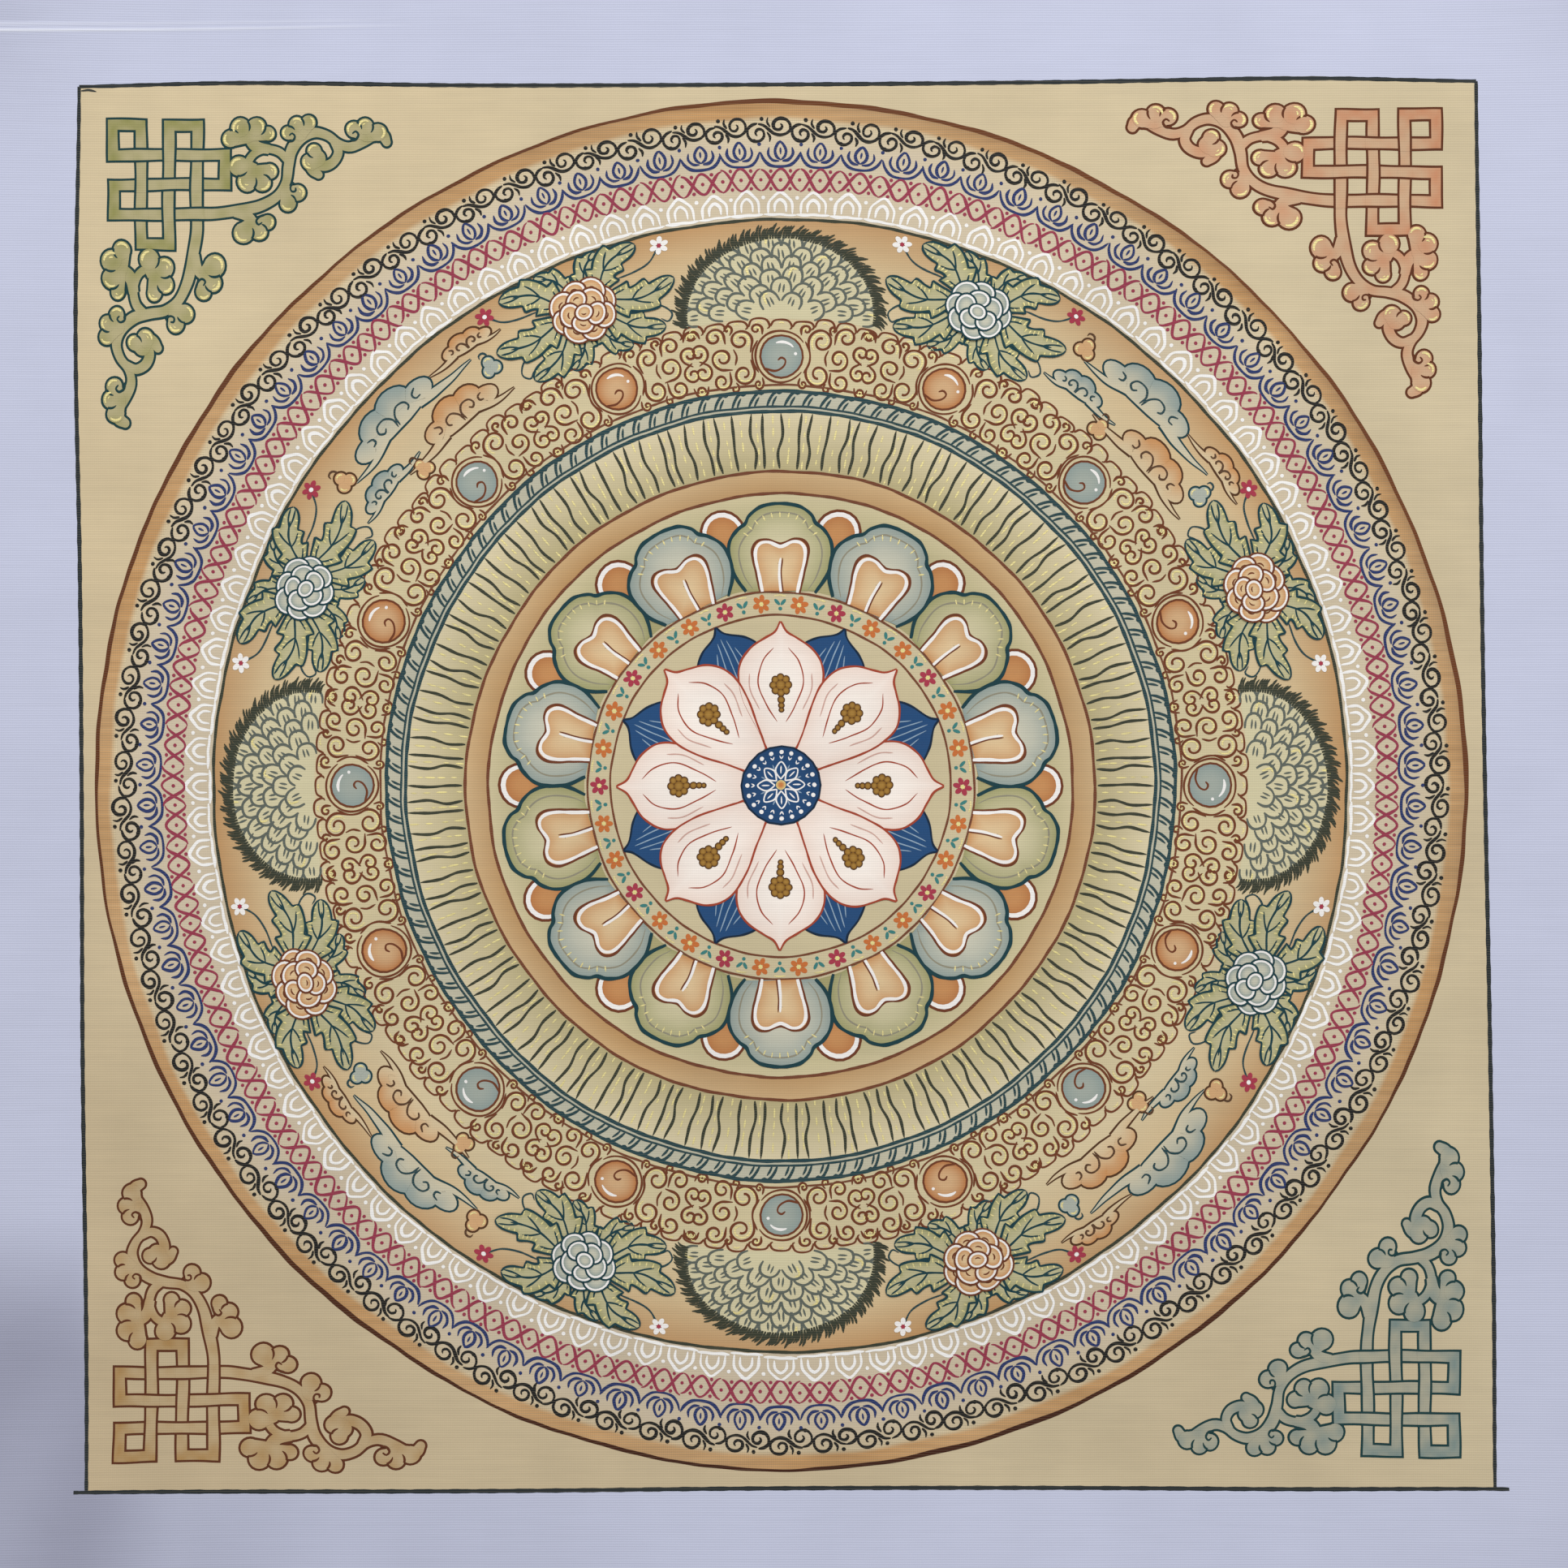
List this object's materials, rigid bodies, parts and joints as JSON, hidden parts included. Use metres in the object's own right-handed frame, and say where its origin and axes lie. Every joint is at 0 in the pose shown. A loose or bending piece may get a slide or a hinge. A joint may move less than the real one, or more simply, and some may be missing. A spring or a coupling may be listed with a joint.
{
  "type": "painted cotton canvas of an unmounted scroll painting",
  "caption": "Square sheet of primed cotton canvas, painted on its face with a round traditional ornament, lying flat with slightly lifted corners.",
  "frame": {"origin": "under the middle of the sheet, on the surface that it lies on", "axes": "+Z out of the painted face, +Y towards the top of the picture, +X to its right"},
  "size_m": [0.36, 0.36, 0.0067],
  "materials": {
    "primed_canvas": "matt chalk-primed cotton with a fine rib, pale lilac grey on its bare margin"
  },
  "bodies": {
    "root": {"canvas": "primed_canvas"}
  },
  "joints": []
}
